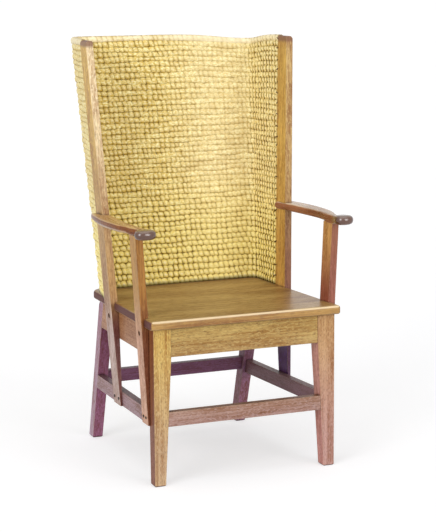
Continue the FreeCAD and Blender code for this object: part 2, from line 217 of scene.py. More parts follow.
@dataclass(frozen=True)
class LitFaces:
    """Colours of a board's faces, with painted light and shade: each face's tone holds how much light falls on
    it.
    """

    side: str
    front: str
    top: str


@dataclass(frozen=True)
class OakFinish:
    """Oiled oak, planed by hand and rubbed by use: brown streaks, open pores, dark end grain, pale edges that
    are partly rubbed and partly painted highlight, painted shade in crevices, and face tones with painted light
    and shade.

    A pair of sizes in millimetres is across and along the grain. A turn is a share of the normal. The grip
    is the part that hands have darkened, and its usual place is far outside, so a plain board has none.
    """

    name: str
    faces: tuple[LitFaces, ...]
    grain: Grain = Grain.UPRIGHT
    seed: int = 0
    heights: tuple[float, ...] = (0.05, 0.42)
    face_turn: Pair = (0.5, 0.82)
    rear_way: Spot = (0.71, 0.71, 0.0)
    rear_turn: Pair = (0.4, 0.6)
    away: str = "#a87c50"
    board_start: Pair = (0.05, 0.4)
    streak_mm: Pair = (5.0, 260.0)
    tone_mm: Pair = (45.0, 200.0)
    tint_ramp: Pair = (0.78, 1.22)
    pale_tint: str = "#fffbf4"
    deep_tint: str = "#b28f74"
    fleck_mm: Pair = (3.6, 10.0)
    fleck_ramp: Pair = (0.52, 0.66)
    fleck: float = 0.6
    pore_mm: Pair = (1.7, 20.0)
    pore_ramp: Pair = (0.5, 0.7)
    pore: str = "#4a2a1c"
    pore_share: float = 0.5
    end_turn: Pair = (0.62, 0.86)
    end: str = "#5d4038"
    end_share: float = 0.7
    grip: str = "#3c2625"
    grip_axis: str = "Y"
    grip_place: Pair = (-9.0, -10.0)
    grip_share: float = 0.85
    grip_coat: float = 0.0
    # pale edges, partly rubbed and partly a painted highlight
    edge_mm: float = 2.0
    edge_turn: Pair = (0.99, 0.85)
    wear_and_highlight_tone: str = "#ecd6ac"
    edge_wear_and_highlight: float = 0.5
    # painted highlight along the front top edge
    highlight_way: Spot = (0.0, -0.71, 0.71)
    highlight_turn: Pair = (0.86, 0.97)
    rim_highlight: float = 0.0
    # painted shade where nearby parts shut a surface in
    crevice_shade_mm: float = 10.0
    crevice_shade_ramp: Pair = (0.72, 0.3)
    crevice_shade: str = "#3a2220"
    painted_shade_share: float = 0.85
    roughness: float = 0.45
    gloss_change: Pair = (-0.06, 0.14)
    specular: float = 0.2
    relief_mm: float = 0.25
    relief: float = 0.35

    @staticmethod
    def noise(add: Adder, board: Node, size_mm: Pair, detail: float) -> Node:
        """Adds a noise that is drawn out along the grain.

        Args:
            add: adds a node to the material.
            board: place in the board, with the grain along Z.
            size_mm: size of the pattern across and along the grain.
            detail: how fine the noise is.

        Returns:
            The noise, from 0 to 1.
        """
        wide, long = (1 / (size * MM) for size in size_mm)
        placed = add("Mapping", {"Scale": (wide, wide, long)}, {"Vector": board})
        return add("TexNoise", {"Scale": 1.0, "Detail": detail, "Roughness": 0.6}, {"Vector": placed})

    def plain_colour(self, add: Adder, height: NodeSocket, looks: NodeOutputs, normal: NodeSocket) -> Node:
        """Adds the colour of each face, with its painted light and shade, before grain and the other layers,
        and one plain tone for faces to the rear and left.

        Args:
            add: adds a node to the material.
            height: height over the floor.
            looks: size of the normal's share along each axis.
            normal: direction in which the face looks.

        Returns:
            The colour.
        """
        colour = None
        for axis, face in (("X", "side"), ("Y", "front"), ("Z", "top")):
            tones = [linear(getattr(one, face)) for one in self.faces]
            shade = add("Mix", {SHARE: 0.0, UNDER: tones[0]}, data_type="RGBA")
            for tone, start, end in zip(tones[1:], self.heights, self.heights[1:]):
                fade = add("MapRange", span(start, end), {"Value": height}, interpolation_type="SMOOTHSTEP")
                shade = add("Mix", {OVER: tone}, {SHARE: fade, UNDER: shade}, data_type="RGBA")
            if colour:
                turned = add("MapRange", span(*self.face_turn), {"Value": looks[axis]})
                shade = add("Mix", links={SHARE: turned, UNDER: colour, OVER: shade}, data_type="RGBA")
            colour = shade
        rear = add("VectorMath", {1: self.rear_way}, {0: normal}, operation="DOT_PRODUCT")
        behind = add("MapRange", span(*self.rear_turn), {"Value": rear})
        return add("Mix", {OVER: linear(self.away)}, {SHARE: behind, UNDER: colour}, data_type="RGBA")

    def material(self) -> Material:
        """Builds the finish as a node material.

        Returns:
            The material.
        """
        made, add = new_material(self.name)
        rng = random.Random(self.seed)
        turn, grain_axis = self.grain.value
        coords = add("TexCoord").outputs["Object"]
        start = [rng.uniform(*self.board_start) for _ in range(3)]
        board = add("Mapping", {"Rotation": turn, "Location": start}, {"Vector": coords})
        place = add("SeparateXYZ", links={"Vector": coords}).outputs
        normal = add("NewGeometry").outputs["Normal"]
        unsigned = add("VectorMath", links={0: normal}, operation="ABSOLUTE")
        looks = add("SeparateXYZ", links={"Vector": unsigned}).outputs
        plain = self.plain_colour(add, place["Z"], looks, normal)

        streaks = self.noise(add, board, self.streak_mm, 5.0)
        tone = self.noise(add, board, self.tone_mm, 3.0)
        pore_noise = self.noise(add, board, self.pore_mm, 3.0)
        fleck_noise = self.noise(add, board, self.fleck_mm, 1.0)
        both = add("Math", links={0: streaks, 1: tone}, operation="ADD")
        shade = add("MapRange", span(*self.tint_ramp), {"Value": both})
        tints = {UNDER: linear(self.pale_tint), OVER: linear(self.deep_tint)}
        tint = add("Mix", tints, {SHARE: shade}, data_type="RGBA")
        wood = add("Mix", {SHARE: 1.0}, {UNDER: plain, OVER: tint}, data_type="RGBA", blend_type="MULTIPLY")
        pores = add("MapRange", span(*self.pore_ramp), {"Value": pore_noise})

        # each layer is a colour and the mask that lays it over the wood
        flecks = add("MapRange", span(*self.fleck_ramp, 0.0, self.fleck), {"Value": fleck_noise})
        pore_mask = add("Math", {1: self.pore_share}, {0: pores}, operation="MULTIPLY")
        ends = add("MapRange", span(*self.end_turn, 0.0, self.end_share), {"Value": looks[grain_axis]})
        handled = add(
            "MapRange", span(*self.grip_place, 0.0, self.grip_share), {"Value": place[self.grip_axis]})
        # pale edges, partly rubbed and partly a painted highlight
        soft_edge = add("Bevel", {"Radius": self.edge_mm * MM}, samples=4)
        turned = add("VectorMath", links={0: soft_edge, 1: normal}, operation="DOT_PRODUCT")
        edge = add("MapRange", span(*self.edge_turn, 0.0, self.edge_wear_and_highlight), {"Value": turned})
        # painted highlight along the front top edge
        ahead = add("VectorMath", {1: self.highlight_way}, {0: normal}, operation="DOT_PRODUCT")
        rim_highlight = add("MapRange", span(*self.highlight_turn, 0.0, self.rim_highlight), {"Value": ahead})
        rubbed = add("Math", links={0: edge, 1: tone, 2: rim_highlight}, operation="MULTIPLY_ADD", use_clamp=True)
        # painted shade in crevices, darker where nearby parts shut the surface in
        shut_in = add("AmbientOcclusion", {"Distance": self.crevice_shade_mm * MM}, samples=4).outputs["AO"]
        crevice_shaded = add("MapRange", span(*self.crevice_shade_ramp, 0.0, self.painted_shade_share), {"Value": shut_in})
        colour = add("Mix", links={SHARE: flecks, UNDER: wood, OVER: plain}, data_type="RGBA")
        for mask, layer in (
                (pore_mask, self.pore), (ends, self.end), (handled, self.grip), (rubbed, self.wear_and_highlight_tone),
                (crevice_shaded, self.crevice_shade)):
            colour = add("Mix", {OVER: linear(layer)}, {SHARE: mask, UNDER: colour}, data_type="RGBA")

        sheen = add("MapRange", span(low=self.specular, high=0.0), {"Value": ends})
        polish = add("MapRange", span(high=self.grip_coat), {"Value": handled})
        smooth, rough = (self.roughness + change for change in self.gloss_change)
        gloss = add("MapRange", span(low=smooth, high=rough), {"Value": pores})
        height = add("Math", {1: -1.0}, {0: pores, 2: streaks}, operation="MULTIPLY_ADD")
        bump = add(
            "Bump", {"Strength": self.relief, "Distance": self.relief_mm * MM},
            {"Height": height, "Normal": soft_edge})
        surface = add(
            "BsdfPrincipled", {"IOR": 1.5, "Coat Roughness": 0.15, "Coat IOR": 1.8},
            {"Base Color": colour, "Roughness": gloss, "Specular IOR Level": sheen, "Coat Weight": polish,
             "Normal": bump})
        add("OutputMaterial", links={"Surface": surface})
        return made


@dataclass(frozen=True)
class StrawFinish:
    """Oat straw in bundles: gold strands, with painted shade at stitches, seams and seat,
    and painted sheen, glints and light.

    A place in a bundle is counted in beads along it, and from -1 to 1 across and up, and unit_mm says what
    one of each is. Single straws are finer than a pixel of the render, so they are drawn as flecks as
    coarse as they need to show. A ramp is where it starts and ends, and then what it turns into.
    """

    name: str
    light: str = "#fdf3b8"
    mid: str = "#debe5c"
    low: str = "#cba949"
    # pale tone of the painted sheen on the upper back and of the painted light on the left wing
    pale: str = "#f6efd2"
    # tone of painted light on the low rows
    low_rows_lit_tone: str = "#fcea7e"
    glint_tone: str = "#fff6cc"
    # saturated gold at the edge of the painted shade in grooves, then that painted shade
    ochre: str = "#cba433"
    groove_shade: str = "#573d00"
    # painted shadow along the seat under the lowest row
    seat_contact_shade: str = "#2e2110"
    seam: float = 0.62
    seam_place: Pair = (0.56, 0.84)
    stitch: float = 0.6
    stitch_place: Pair = (0.32, 0.58)
    pit: float = 0.3
    pit_along: Pair = (0.15, 0.5)
    pit_up: Pair = (0.25, 0.8)
    glint: float = 0.5
    glint_place: Pair = (0.6, 0.1)
    glint_stretch: float = 1.5
    bright_along: float = 0.62
    bright_up: float = 0.12
    unit_mm: Spot = (14.2, 8.75, 7.2)
    strand_mm: Spot = (5.917, 1.4583, 3.6)
    strand_shift: Spot = (9.0, 9.0, 90.0)
    strand_ramp: Pair = (0.42, 0.58)
    row_mm: float = 14.35
    bunch_mm: float = 50.0
    bead_mm: float = 12.0
    tight_ramp: Ramp = (0.8, 1.15, 0.2, 1.1)
    broken_ramp: Ramp = (0.36, 0.6, 0.35, 1.25)
    brown_ramp: Ramp = (0.8, 1.3, 0.0, 0.75)
    outside_ramp: Ramp = (-0.1, -0.4, 0.0, 0.6)
    wing_place: Pair = (0.203, 0.228)
    wing_lean: float = 0.0303
    wing_light: float = 0.55
    # place, reach and height of the painted sheen on the upper back
    sheen_place: float = 0.17
    sheen_reach: Pair = (0.22, 0.04)
    sheen_height: Ramp = (0.5, 0.7, 0.95)
    low_height: Pair = (0.72, 0.5)
    strong_stitch: float = 0.5
    sheen_stitch: float = 0.25
    strong_seam: float = 0.3
    sheen_seam: float = 0.45
    lit_pale_share: float = 0.3
    low_lit_share: float = 0.5
    ochre_share: float = 1.2
    # painted shadow along the seat
    contact_shade_height: Pair = (0.4285, 0.418)
    painted_shade_share: float = 0.85
    gloss: Pair = (0.5, 0.32)
    relief_mm: float = 0.9
    relief: float = 0.7

    def sheen_mask(self, add: Adder, place: NodeOutputs, wing: Node) -> Node:
        """Adds a mask of painted sheen on the upper back towards the left wing, drawn as paler straw and
        fainter stitches.

        Args:
            add: adds a node to the material.
            place: the point's X, Y and Z.
            wing: mask of the left wing.

        Returns:
            The mask, from 0 to 1.
        """
        aside = add("Math", {1: self.sheen_place}, {0: place["X"]}, operation="SUBTRACT")
        away = add("Math", links={0: aside}, operation="ABSOLUTE")
        near, high = (
            add("MapRange", span(*ramp), {"Value": value}, interpolation_type="SMOOTHSTEP")
            for ramp, value in ((self.sheen_reach, away), (self.sheen_height, place["Z"]))
        )
        upper = add("Math", links={0: near, 1: high}, operation="MULTIPLY")
        return add("Math", links={0: upper, 1: wing}, operation="SUBTRACT", use_clamp=True)

    def hollows(self, add: Adder, parts: NodeOutputs, tight: Node, broken: Node) -> tuple[Node, Node]:
        """Adds masks of painted shade in the seams and stitches round the beads, and of the painted glint on
        each bead.

        Args:
            add: adds a node to the material.
            parts: the point's bead number along, and its place across and up.
            tight: how hard the stitches are drawn.
            broken: how deep the seams are.

        Returns:
            The two masks, from 0 to 1.
        """
        # a bead is brightest off its middle, up and towards the light
        along = add("Math", links={0: parts["X"]}, operation="FRACT")
        off = add("Math", {1: self.bright_along}, {0: along}, operation="SUBTRACT")
        from_bright = add("Math", links={0: off}, operation="ABSOLUTE")
        above = add("Math", {1: self.bright_up}, {0: parts["Z"]}, operation="SUBTRACT")
        from_row = add("Math", links={0: above}, operation="ABSOLUTE")
        clear = []
        for far, ramp, share, worked in (
                (from_bright, self.stitch_place, self.stitch, tight),
                (from_row, self.seam_place, self.seam, broken)):
            line = add("MapRange", span(*ramp, 0.0, share), {"Value": far})
            drawn = add("Math", links={0: line, 1: worked}, operation="MULTIPLY")
            clear.append(add("Math", {0: 1.0}, {1: drawn}, operation="SUBTRACT"))
        left = add("Math", links=dict(enumerate(clear)), operation="MULTIPLY")
        lines = add("Math", {0: 1.0}, {1: left}, operation="SUBTRACT")
        # the deepest shade is where a stitch meets a seam
        beside = add("MapRange", span(*self.pit_along), {"Value": from_bright})
        below = add("MapRange", span(*self.pit_up, 0.0, self.pit), {"Value": from_row})
        corner = add("Math", links={0: beside, 1: below}, operation="MULTIPLY")
        mask = add("Math", links={0: corner, 1: tight, 2: lines}, operation="MULTIPLY_ADD", use_clamp=True)
        from_spot = add(
            "Math", {1: self.glint_stretch}, {0: from_bright, 2: from_row}, operation="MULTIPLY_ADD")
        glint = add("MapRange", span(*self.glint_place, 0.0, self.glint), {"Value": from_spot})
        return mask, add("Math", links={0: glint, 1: tight}, operation="MULTIPLY")

    def material(self) -> Material:
        """Builds the finish as a node material that follows the rows' own attribute.

        Returns:
            The material.
        """
        made, add = new_material(self.name)
        coords = add("TexCoord").outputs["Object"]
        bundle = add("Attribute", attribute_name="straw").outputs["Vector"]
        parts = add("SeparateXYZ", links={"Vector": bundle}).outputs
        place = add("SeparateXYZ", links={"Vector": coords}).outputs
        # flecks of straw differ from row to row, because the place in the back shifts them
        strand_scale = [unit / size for unit, size in zip(self.unit_mm, self.strand_mm)]
        strand_at = add("Mapping", {"Scale": strand_scale}, {"Vector": bundle})
        strand_place = add(
            "VectorMath", {1: self.strand_shift}, {0: coords, 2: strand_at}, operation="MULTIPLY_ADD")
        strands = add("TexNoise", {"Scale": 1.0, "Detail": 3.0, "Roughness": 0.6}, {"Vector": strand_place})
        strand = add("MapRange", span(*self.strand_ramp), {"Value": strands})
        # each row has its own patches of brighter and browner straw, and of tight and loose stitches
        bunch_scale = [1 / (size * MM) for size in (self.bunch_mm, self.bunch_mm, self.row_mm)]
        bunch_at = add("Mapping", {"Scale": bunch_scale}, {"Vector": coords})
        bunch = add("TexNoise", {"Scale": 1.0, "Detail": 2.0}, {"Vector": bunch_at})
        # each bead catches the light a little differently
        lump = add("TexNoise", {"Scale": 1 / (self.bead_mm * MM), "Detail": 1.0}, {"Vector": coords})
        patch = add("Math", links={0: bunch, 1: lump}, operation="ADD")
        aside = add("Math", {1: -self.wing_lean}, {0: place["Z"], 2: place["X"]}, operation="MULTIPLY_ADD")
        tight, broken, brown, outside, wing, low_rows = (
            add("MapRange", span(*ramp), {"Value": value}) for ramp, value in (
                (self.tight_ramp, patch), (self.broken_ramp, lump), (self.brown_ramp, patch),
                (self.outside_ramp, parts["Y"]), (self.wing_place, aside), (self.low_height, place["Z"])))
        strong = add("Math", links={0: wing, 1: low_rows}, operation="MAXIMUM")
        # painted sheen on the upper back, with the paler outer face, and painted light that pales the left wing
        sheen_and_outer_face = add("Math", links={0: self.sheen_mask(add, place, wing), 1: outside}, operation="MAXIMUM")
        painted_paling = add(
            "Math", {1: self.wing_light}, {0: wing, 2: sheen_and_outer_face}, operation="MULTIPLY_ADD", use_clamp=True)
        # the painted shade of stitches and seams is strongest on the low rows, that of stitches on the left
        # wing too
        shares = []
        for worked, boosted, gain, weak, kept in (
                (tight, strong, self.strong_stitch, sheen_and_outer_face, self.sheen_stitch),
                (broken, low_rows, self.strong_seam, painted_paling, self.sheen_seam)):
            faint = add("MapRange", span(low=1.0, high=kept), {"Value": weak})
            show = add("Math", {1: gain}, {0: boosted, 2: faint}, operation="MULTIPLY_ADD")
            shares.append(add("Math", links={0: worked, 1: show}, operation="MULTIPLY"))
        groove_shade_mask, glint = self.hollows(add, parts, *shares)
        # painted sheen and light pale the straw, painted light brightens the low rows, and gold edges the
        # painted groove shade
        lit_paling, low_rows_lit, shade_edge_gold = (
            add("Math", {1: share}, {0: mask}, operation="MULTIPLY", use_clamp=True) for share, mask in (
                (self.lit_pale_share, painted_paling), (self.low_lit_share, low_rows), (self.ochre_share, groove_shade_mask)))
        # painted shadow along the seat, under the lowest row
        contact_shade = add("MapRange", span(*self.contact_shade_height, 0.0, self.painted_shade_share), {"Value": place["Z"]})
        tones = {UNDER: linear(self.mid), OVER: linear(self.light)}
        colour = add("Mix", tones, {SHARE: strand}, data_type="RGBA")
        for mask, layer in (
                (brown, self.low), (lit_paling, self.pale), (low_rows_lit, self.low_rows_lit_tone), (glint, self.glint_tone),
                (shade_edge_gold, self.ochre), (groove_shade_mask, self.groove_shade), (contact_shade, self.seat_contact_shade)):
            colour = add("Mix", {OVER: linear(layer)}, {SHARE: mask, UNDER: colour}, data_type="RGBA")
        dull, shiny = self.gloss
        gloss = add("MapRange", span(low=dull, high=shiny), {"Value": strand})
        bump = add("Bump", {"Strength": self.relief, "Distance": self.relief_mm * MM}, {"Height": strands})
        surface = add(
            "BsdfPrincipled", {"IOR": 1.45, "Specular IOR Level": 0.15},
            {"Base Color": colour, "Roughness": gloss, "Normal": bump})
        add("OutputMaterial", links={"Surface": surface})
        return made


@dataclass(frozen=True)
class CordFinish:
    """Waxed hemp cord: dark brown and dull, with a fine twist."""

    name: str = "waxed_cord"
    light: str = "#6e5030"
    dark: str = "#33220f"
    twist_mm: float = 1.6
    gloss: Pair = (0.9, 0.65)
    relief_mm: float = 0.3
    relief: float = 0.6

    def material(self) -> Material:
        """Builds the finish as a node material.

        Returns:
            The material.
        """
        made, add = new_material(self.name)
        coords = add("TexCoord").outputs["Object"]
        twist = add("TexNoise", {"Scale": 1 / (self.twist_mm * MM), "Detail": 2.0}, {"Vector": coords})
        tones = {UNDER: linear(self.dark), OVER: linear(self.light)}
        colour = add("Mix", tones, {SHARE: twist}, data_type="RGBA")
        dull, waxy = self.gloss
        gloss = add("MapRange", span(low=dull, high=waxy), {"Value": twist})
        bump = add("Bump", {"Strength": self.relief, "Distance": self.relief_mm * MM}, {"Height": twist})
        surface = add(
            "BsdfPrincipled", {"IOR": 1.45}, {"Base Color": colour, "Roughness": gloss, "Normal": bump})
        add("OutputMaterial", links={"Surface": surface})
        return made


@dataclass(frozen=True)
class ScrewFinish:
    """Old iron wood screws: near black with rubbed grey patches and a little rust."""

    name: str = "old_iron"
    dark: str = "#0c0908"
    bright: str = "#4a423d"
    rust: str = "#3c2618"
    patch_mm: float = 2.5
    rubbed_ramp: Pair = (0.45, 0.7)
    rust_ramp: Ramp = (0.45, 0.3, 0.0, 0.6)
    gloss: Pair = (0.65, 0.35)
    relief_mm: float = 0.1
    relief: float = 0.4

    def material(self) -> Material:
        """Builds the finish as a node material.

        Returns:
            The material.
        """
        made, add = new_material(self.name)
        coords = add("TexCoord").outputs["Object"]
        patch = add("TexNoise", {"Scale": 1 / (self.patch_mm * MM), "Detail": 4.0}, {"Vector": coords})
        rubbed = add("MapRange", span(*self.rubbed_ramp), {"Value": patch})
        tones = {UNDER: linear(self.dark), OVER: linear(self.bright)}
        metal = add("Mix", tones, {SHARE: rubbed}, data_type="RGBA")
        rusty = add("MapRange", span(*self.rust_ramp), {"Value": patch})
        colour = add("Mix", {OVER: linear(self.rust)}, {SHARE: rusty, UNDER: metal}, data_type="RGBA")
        dull, shiny = self.gloss
        gloss = add("MapRange", span(low=dull, high=shiny), {"Value": rubbed})
        bump = add("Bump", {"Strength": self.relief, "Distance": self.relief_mm * MM}, {"Height": patch})
        surface = add(
            "BsdfPrincipled", {"Metallic": 0.4, "Specular IOR Level": 0.3},
            {"Base Color": colour, "Roughness": gloss, "Normal": bump})
        add("OutputMaterial", links={"Surface": surface})
        return made


@dataclass
class Studio:
    """White floor, soft light from both sides and the camera at the photograph's angle."""

    place: Spot = (-1.8233, -4.2953, 1.2901)
    yaw: float = math.radians(23.448)
    pitch: float = math.radians(9.688)
    roll: float = math.radians(-0.33)
    focal_pixels: float = 1826.06
    image_height: int = 532
    film_height: float = 36.0
    floor_size: float = 400.0
    paper: str = "#f4f4f6"
    white: str = "#ffffff"
    ambient: float = 0.35
    shadow_share: float = 0.6
    paper_light: float = 1.4
    lamps: tuple[tuple[str, Spot, float, float], ...] = (
        ("left_light", (-0.82, -0.54, 0.3), 1.5, 32.0),
        ("right_light", (0.31, -0.94, 0.2), 1.2, 32.0),
        ("upper_light", (-0.1, -0.3, 1.0), 1.0, 70.0),
    )

    def camera(self) -> None:
        """Sets up the camera."""
        ahead = Vector((
            math.sin(self.yaw) * math.cos(self.pitch), math.cos(self.yaw) * math.cos(self.pitch),
            -math.sin(self.pitch)))
        level = Vector((math.cos(self.yaw), -math.sin(self.yaw), 0.0))
        upward = level.cross(ahead)
        right = level * math.cos(self.roll) + upward * math.sin(self.roll)
        up = upward * math.cos(self.roll) - level * math.sin(self.roll)
        turn = Matrix((right, up, -ahead)).transposed().to_4x4()
        data = bpy.data.cameras.new("viewpoint")
        data.sensor_fit = "VERTICAL"
        data.sensor_height = self.film_height
        data.lens = self.film_height * self.focal_pixels / self.image_height
        data.clip_end = 2 * self.floor_size
        viewpoint = bpy.data.objects.new("viewpoint", data)
        viewpoint.matrix_world = Matrix.Translation(self.place) @ turn
        bpy.context.scene.collection.objects.link(viewpoint)
        bpy.context.scene.camera = viewpoint

    @staticmethod
    def shown(add: Adder) -> Node:
        """Adds a mask of what the camera sees, straight, mirrored or through glass.

        Args:
            add: adds a node to the tree.

        Returns:
            The mask, 0 or 1.
        """
        rays = add("LightPath").outputs
        mask = rays["Is Camera Ray"]
        for other in ("Is Glossy Ray", "Is Transmission Ray"):
            mask = add("Math", links={0: mask, 1: rays[other]}, operation="MAXIMUM")
        return mask

    def floor(self) -> None:
        """Lays a white floor that keeps a faint shadow."""
        bpy.ops.object.select_all(action="DESELECT")
        bpy.ops.mesh.primitive_plane_add(size=self.floor_size)
        ground = bpy.context.active_object
        ground.name = "studio_floor"
        made, add = new_material("white_paper")
        share = add("Math", {1: 1 - self.shadow_share}, {0: self.shown(add)}, operation="MULTIPLY")
        paper = add("BsdfDiffuse", {"Color": linear(self.paper)})
        white = add("Emission", {"Color": linear(self.white), "Strength": self.paper_light})
        surface = add("MixShader", links={0: share, 1: paper, 2: white})
        add("OutputMaterial", links={"Surface": surface})
        ground.data.materials.append(made)

    def world(self) -> None:
        """Makes a white surround that lights the chair softly."""
        around = bpy.data.worlds.new("white_surround")
        bpy.context.scene.world = around
        around.use_nodes = True
        around.node_tree.nodes.clear()
        add = partial(add_node, around.node_tree)
        strength = add("MapRange", span(low=self.ambient), {"Value": self.shown(add)})
        back = add("Background", {"Color": linear(self.white)}, {"Strength": strength})
        add("OutputWorld", links={"Surface": back})

    @staticmethod
    def lamp(name: str, towards: Spot, strength: float, spread: float) -> None:
        """Adds a broad even light.

        Args:
            name: name of the light.
            towards: direction from the chair to the light.
            strength: light on a face square to it.
            spread: angle that the light fills, in degrees.
        """
        data = bpy.data.lights.new(name, "SUN")
        data.energy = strength
        data.angle = math.radians(spread)
        light = bpy.data.objects.new(name, data)
        light.rotation_euler = Vector(towards).to_track_quat("Z", "Y").to_euler()
        bpy.context.scene.collection.objects.link(light)

    def build(self) -> None:
        """Sets up view, floor, surround and lights."""
        bpy.context.scene.view_settings.view_transform = "Standard"
        self.camera()
        self.floor()
        self.world()
        for lamp in self.lamps:
            self.lamp(*lamp)


@dataclass
class SideLine:
    """Plan of a side of the frame: lengths back from the front legs and out from the side rails' faces."""

    half_front: float = 0.2455
    narrowing: float = 0.018
    depth: float = 0.462
    frame_top: float = 0.395
    lean: float = math.radians(3.15)
    post_thickness: float = 0.019

    def turn(self) -> float:
        """Returns the angle between a side of the frame and its middle line."""
        return math.atan(self.narrowing / self.depth)

    def point(self, back: float, out: float, height: float, side: float = 1.0) -> Vector:
        """Gives a point from its lengths along the left side.

        Args:
            back: length along the side, back from the front.
            out: length out from the side rails' faces.
            height: height over the floor.
            side: 1 for the left side and -1 for the right one.

        Returns:
            The point in the part's frame.
        """
        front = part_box("front_leg_left")[0].y
        turn = self.turn()
        x = self.half_front + out * math.cos(turn) - back * math.sin(turn)
        y = out * math.sin(turn) + back * math.cos(turn)
        return Vector((side * x, front + y, height))

    def post_face(self, height: float) -> float:
        """Returns how far out a post's outer face stands at a height."""
        return self.post_thickness + math.tan(self.lean) * (height - self.frame_top)

    def outward(self, side: int) -> Vector:
        """Returns the direction in which a post's outer face looks."""
        turn = self.turn()
        flat = Vector((side * math.cos(turn), math.sin(turn), 0.0)) * math.cos(self.lean)
        return flat - Vector((0.0, 0.0, math.sin(self.lean)))


@dataclass
class OakFrame:
    """Legs, rails, stretchers and glue blocks of the seat frame."""

    deep_tint: str = "#c0a080"
    end_share: float = 0.3
    pore_share: float = 0.55
    pore_mm: Pair = (2.2, 8.0)

    def dress(self) -> None:
        """Gives each piece of the frame an oak finish with its own grain."""
        # face tones below and above the seat hold painted light and shade: lit front faces, darker sides, and
        # dark mauve painted shade on the far legs and back rails
        right_leg = LitFaces("#8f5c48", "#c3a786", "#7a5648"), LitFaces("#8f5c38", "#dbbf6f", "#7a5648")
        left_leg = LitFaces("#c88f89", "#bc9690", "#7a5648"), LitFaces("#cb9586", "#c19c6c", "#7a5648")
        back_leg = LitFaces("#b49ab4", "#986688", "#5c4048"), LitFaces("#ac86a0", "#804c6c", "#5c4048")
        far_leg = LitFaces("#987086", "#a67b9c", "#54384e"), LitFaces("#4c3050", "#46293f", "#54384e")
        front_rail = LitFaces("#9c6b48", "#aa8c95", "#8a6448"), LitFaces("#9c6b48", "#c0a561", "#8a6448")
        side_rail = LitFaces("#a28ea4", "#a28ea4", "#66526c"), LitFaces("#b08259", "#b08259", "#8a6448")
        back_rail = LitFaces("#7f567a", "#7f567a", "#6c4a60"), LitFaces("#6c4a60", "#6c4a60", "#5c4054")
        far_rail = LitFaces("#745668", "#745668", "#8a7480"), LitFaces("#8a6458", "#8a6458", "#8a6458")
        plan = {
            "front_leg_left": (left_leg, Grain.UPRIGHT), "front_leg_right": (right_leg, Grain.UPRIGHT),
            "back_leg_left": (far_leg, Grain.UPRIGHT), "back_leg_right": (back_leg, Grain.UPRIGHT),
            "front_rail": (front_rail, Grain.ACROSS), "back_rail": (back_rail, Grain.ACROSS),
            "side_rail_left": (far_rail, Grain.DEEP), "side_rail_right": (side_rail, Grain.DEEP),
            "front_stretcher": (front_rail, Grain.ACROSS), "back_stretcher": (back_rail, Grain.ACROSS),
            "side_stretcher_left": (far_rail, Grain.DEEP), "side_stretcher_right": (side_rail, Grain.DEEP),
            "corner_blocks": (back_rail, Grain.UPRIGHT),
        }
        for seed, (node, (faces, grain)) in enumerate(plan.items()):
            set_finish(node, OakFinish(
                f"oiled_oak_{node}", faces, grain, seed, deep_tint=self.deep_tint, end_share=self.end_share,
                pore_share=self.pore_share, pore_mm=self.pore_mm).material())


@dataclass
class Posts:
    """Two arm posts and two back posts, the back ones dark at their tops."""

    cap: str = "#7c543e"
    cap_height: Pair = (1.058, 1.066)
    roughness: float = 0.38
    first_seed: int = 20

    def dress(self) -> None:
        """Gives each post an upright oak finish."""
        # tones by height hold painted light and shade, with a painted highlight on the upper front of the right
        # back post and dark painted shade low on the left back post
        plan = {
            "arm_post_left": (
                (0.42, 0.62), (
                    LitFaces("#99584a", "#a3675a", "#6a4a3c"), LitFaces("#d5a769", "#96634f", "#6a4a3c"))),
            "arm_post_right": (
                (0.32, 0.5), (
                    LitFaces("#e2b69c", "#8f5a40", "#6a4a3c"), LitFaces("#ba8a34", "#a47437", "#6a4a3c"))),
            "back_post_left": (
                (0.34, 0.44, 0.8), (
                    LitFaces("#623a80", "#603a62", "#75533c"), LitFaces("#d6ab5a", "#8a5c42", "#75533c"),
                    LitFaces("#dab562", "#d0b276", "#75533c"))),
            "back_post_right": (
                (0.34, 0.46, 1.0), (
                    LitFaces("#c9b4b0", "#7c504e", "#75533c"), LitFaces("#c4a06a", "#bc9660", "#75533c"),
                    LitFaces("#f2d068", "#f8e8be", "#75533c"))),
        }
        for seed, (node, (heights, faces)) in enumerate(plan.items(), self.first_seed):
            set_finish(node, OakFinish(
                f"oiled_oak_{node}", faces, seed=seed, heights=heights, roughness=self.roughness,
                grip=self.cap, grip_axis="Z", grip_place=self.cap_height).material())


